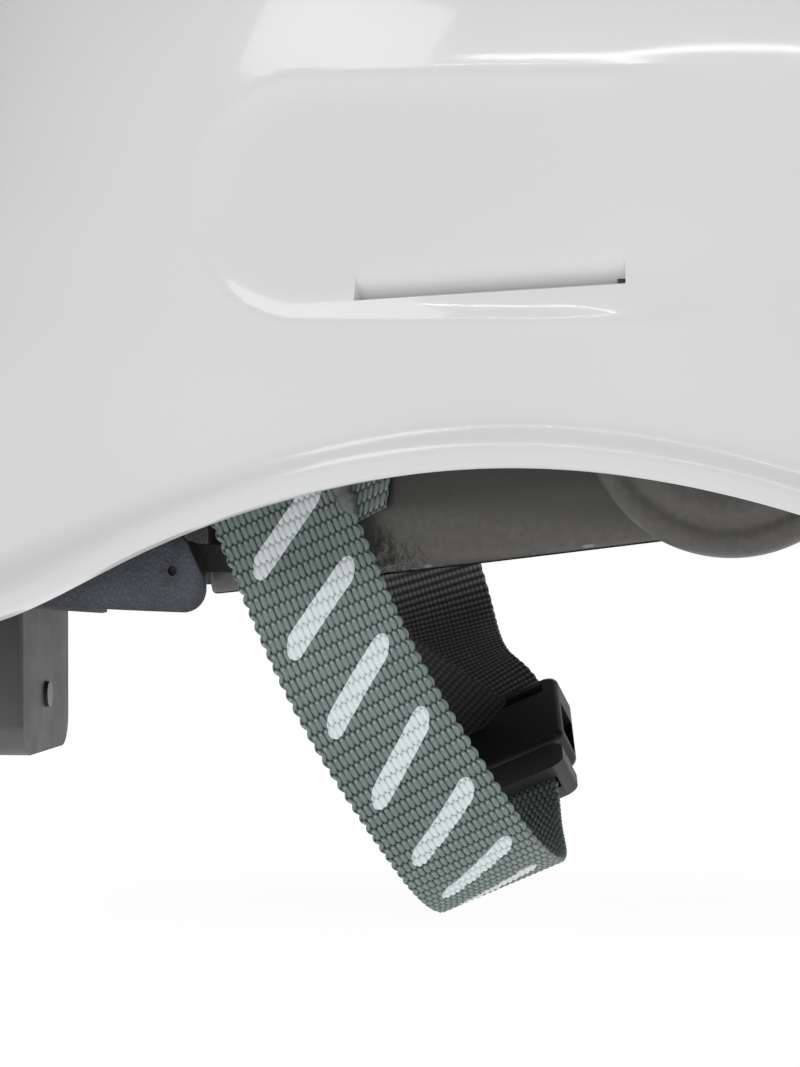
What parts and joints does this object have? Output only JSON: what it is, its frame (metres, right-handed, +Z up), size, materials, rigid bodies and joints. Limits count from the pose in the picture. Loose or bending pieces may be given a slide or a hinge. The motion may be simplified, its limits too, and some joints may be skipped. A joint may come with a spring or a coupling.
{
  "type": "water helmet",
  "caption": "White moulded water sports helmet with foam liner, dial nape harness and a buckled chin strap.",
  "frame": {"origin": "centre of the head opening, on the symmetry plane, at the height where the shell is widest", "axes": "+X towards the wearer's front, +Y the wearer's left, +Z up through the crown"},
  "size_m": [0.2678, 0.2168, 0.2319],
  "materials": {
    "shell_white": "gloss, lightly scuffed",
    "foam_black": "moulded bead foam",
    "foam_grey": "smooth closed-cell foam skin",
    "pad_fabric": "brushed knit over foam",
    "webbing_print": "heavy printed weave",
    "webbing_black": "ribbed weave",
    "leather_blue": "fine-grained, semi-matte",
    "nylon_black": "moulded, fine texture",
    "clear_clip": "translucent grey",
    "rivet_metal": "dulled"
  },
  "bodies": {
    "helmet": {"outer_shell": "shell_white", "crown_liner": "foam_black", "front_liner": "foam_black", "rear_liner": "foam_black", "side_liner_left": "foam_grey", "side_liner_right": "foam_grey", "temple_pad_left": "foam_grey", "temple_pad_right": "foam_grey", "crown_pad": "pad_fabric", "forehead_pad": "pad_fabric", "strap_leg_left": "webbing_black", "strap_leg_right": "webbing_print", "web_rivet_left": "rivet_metal", "web_rivet_right": "rivet_metal", "leg_rivet_left": "rivet_metal", "leg_rivet_right": "rivet_metal", "nape_stud_left": "rivet_metal", "nape_stud_right": "rivet_metal"},
    "chin_strap": {"chin_web_right": "webbing_print", "chin_web_left": "webbing_black", "strap_keeper_left": "clear_clip", "strap_keeper_right": "clear_clip", "buckle_plug": "nylon_black"},
    "buckle_socket": {"buckle_socket": "nylon_black", "web_tail": "webbing_black"},
    "prong_front": {"prong_front": "nylon_black"},
    "prong_rear": {"prong_rear": "nylon_black"},
    "nape_bands": {"nape_band_left": "nylon_black", "nape_band_right": "nylon_black", "band_cover_left": "leather_blue", "band_cover_right": "leather_blue"},
    "nape_cradle": {"nape_cradle": "nylon_black", "nape_pad_left": "pad_fabric", "nape_pad_right": "pad_fabric"},
    "dial": {"dial_knob": "nylon_black", "dial_pinion": "nylon_black"},
    "rack_upper": {"rack_upper": "nylon_black"},
    "rack_lower": {"rack_lower": "nylon_black"}
  },
  "joints": [
    {"name": "chin_strap_swing", "type": "hinge", "parent": "helmet", "child": "chin_strap", "pos_m": [-0.062, 0, -0.01365], "axis": [0, -1, 0], "range_deg": [-4, 10]},
    {"name": "buckle_release", "type": "slide", "parent": "chin_strap", "child": "buckle_socket", "axis": [-0.1753, 0.8981, 0.4033], "range_m": [0, 0.015], "deforming": ["prong_front", "prong_rear"]},
    {"name": "prong_front_press", "type": "hinge", "parent": "chin_strap", "child": "prong_front", "pos_m": [-0.01921, 0.01657, -0.08647], "axis": [-0.3581, -0.4397, 0.8236], "range_deg": [0, 11]},
    {"name": "prong_rear_press", "type": "hinge", "parent": "chin_strap", "child": "prong_rear", "pos_m": [-0.03792, 0.01657, -0.09461], "axis": [0.3581, 0.4397, -0.8236], "range_deg": [0, 11]},
    {"name": "nape_tilt", "type": "hinge", "parent": "helmet", "child": "nape_bands", "pos_m": [-0.074, 0, -0.0445], "axis": [0, 1, 0], "range_deg": [-8, 2.5]},
    {"name": "nape_tighten", "type": "slide", "parent": "nape_bands", "child": "nape_cradle", "axis": [1, 0, 0], "range_m": [0, 0.007]},
    {"name": "dial_turn", "type": "hinge", "parent": "nape_cradle", "child": "dial", "pos_m": [-0.1188, 0, -0.072], "axis": [1, 0, 0], "range_deg": [0, 88.5]},
    {"name": "rack_upper_slide", "type": "slide", "parent": "nape_cradle", "child": "rack_upper", "axis": [0, -1, 0], "range_m": [0, 0.007]},
    {"name": "rack_lower_slide", "type": "slide", "parent": "nape_cradle", "child": "rack_lower", "axis": [0, 1, 0], "range_m": [0, 0.007]}
  ],
  "couplings": [
    {"joint": "dial_turn", "follows": "nape_tighten", "rad_per_m": 218.17},
    {"joint": "rack_upper_slide", "follows": "nape_tighten", "ratio": 1},
    {"joint": "rack_lower_slide", "follows": "nape_tighten", "ratio": 1}
  ]
}
